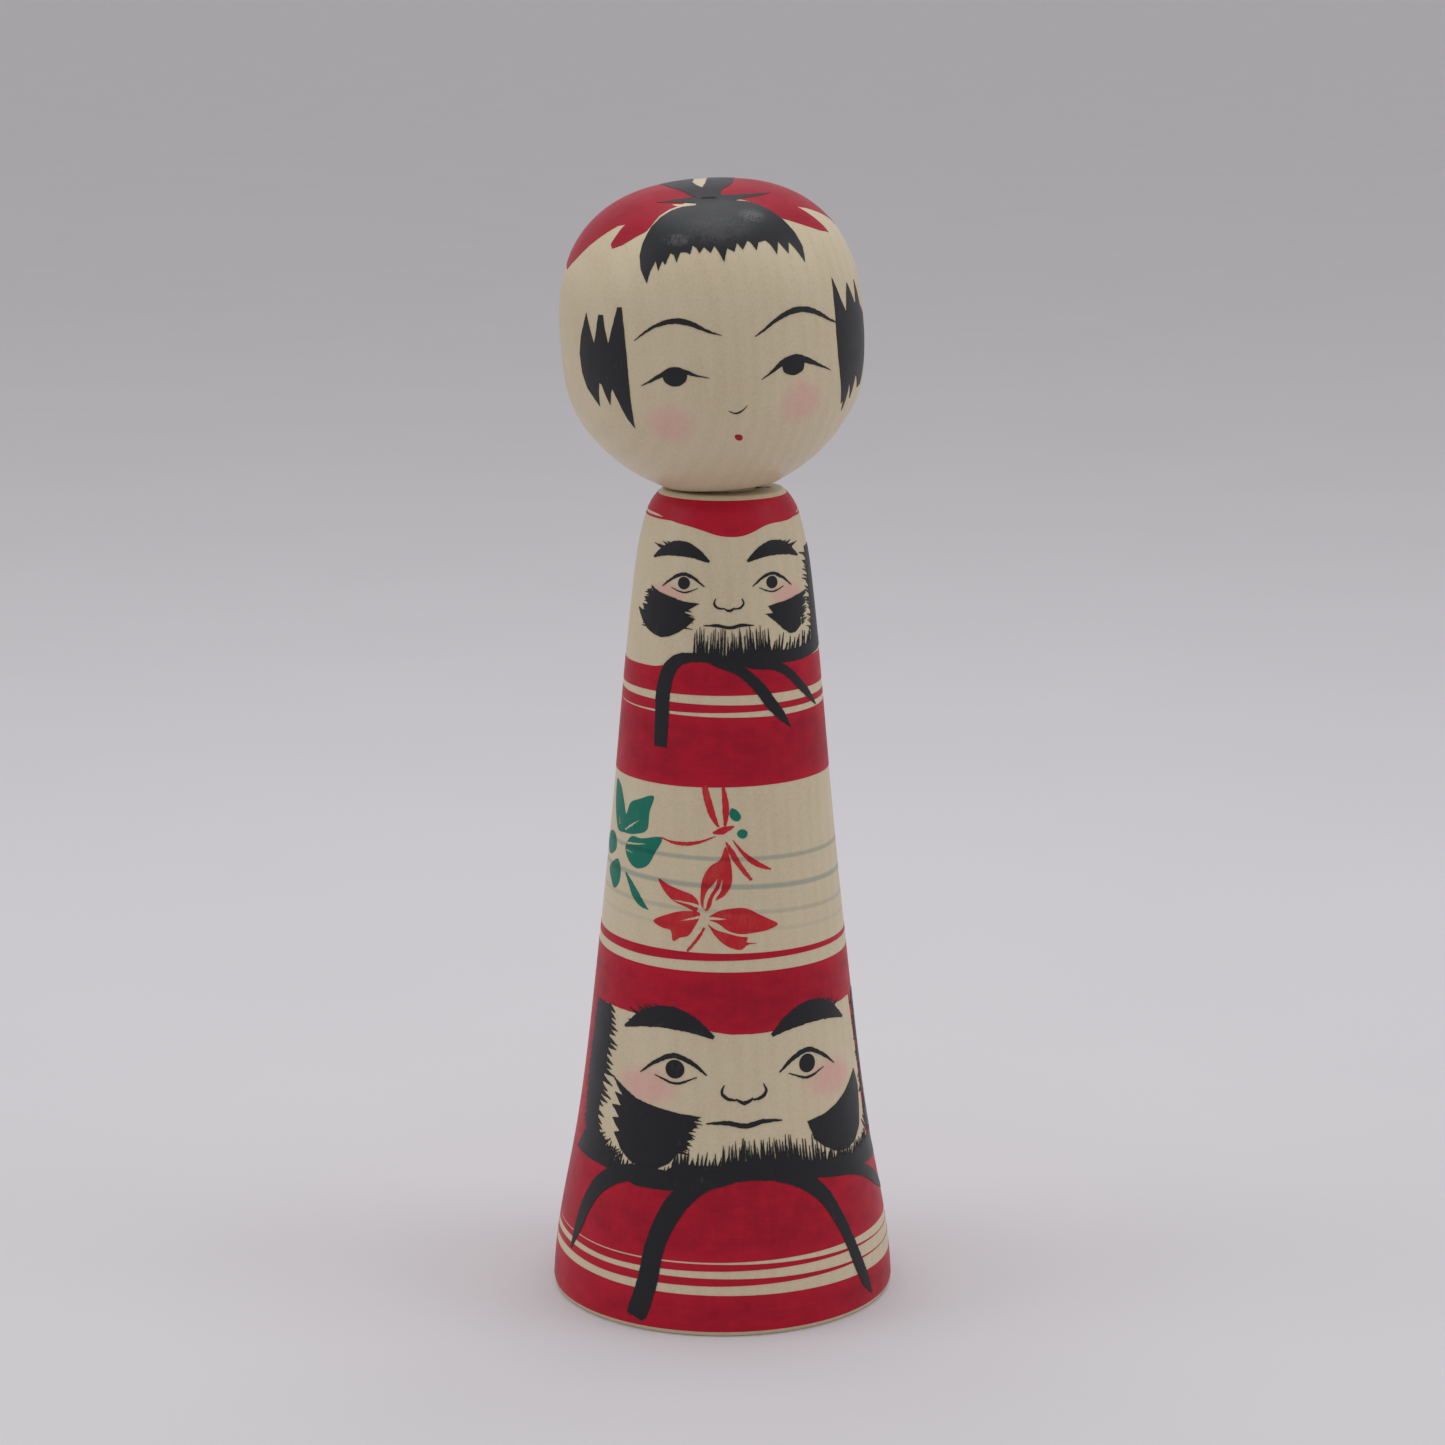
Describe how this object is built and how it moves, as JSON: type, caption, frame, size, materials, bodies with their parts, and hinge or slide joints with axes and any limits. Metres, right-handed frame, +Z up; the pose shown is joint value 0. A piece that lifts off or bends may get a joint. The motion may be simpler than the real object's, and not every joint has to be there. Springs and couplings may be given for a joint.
{
  "type": "kokeshi doll",
  "caption": "Turned wooden doll with a tall tapering body flared at the foot and a round head that turns on a neck peg.",
  "frame": {"origin": "centre of the foot, on the surface that the doll stands on", "axes": "+Z up along the body's turning axis; the face looks along -Y; the doll's right hand side is -X"},
  "size_m": [0.056, 0.056, 0.1821],
  "materials": {
    "body_wood": "waxed, dyed in red bands over pale wood",
    "head_wood": "waxed pale wood with brush painting"
  },
  "bodies": {
    "body": {"body": "body_wood"},
    "head": {"head": "head_wood"}
  },
  "joints": [
    {"name": "head_turn", "type": "hinge", "parent": "body", "child": "head", "pos_m": [0, 0, 0.13382], "axis": [-0.068, 0, 0.9977], "continuous": true}
  ]
}
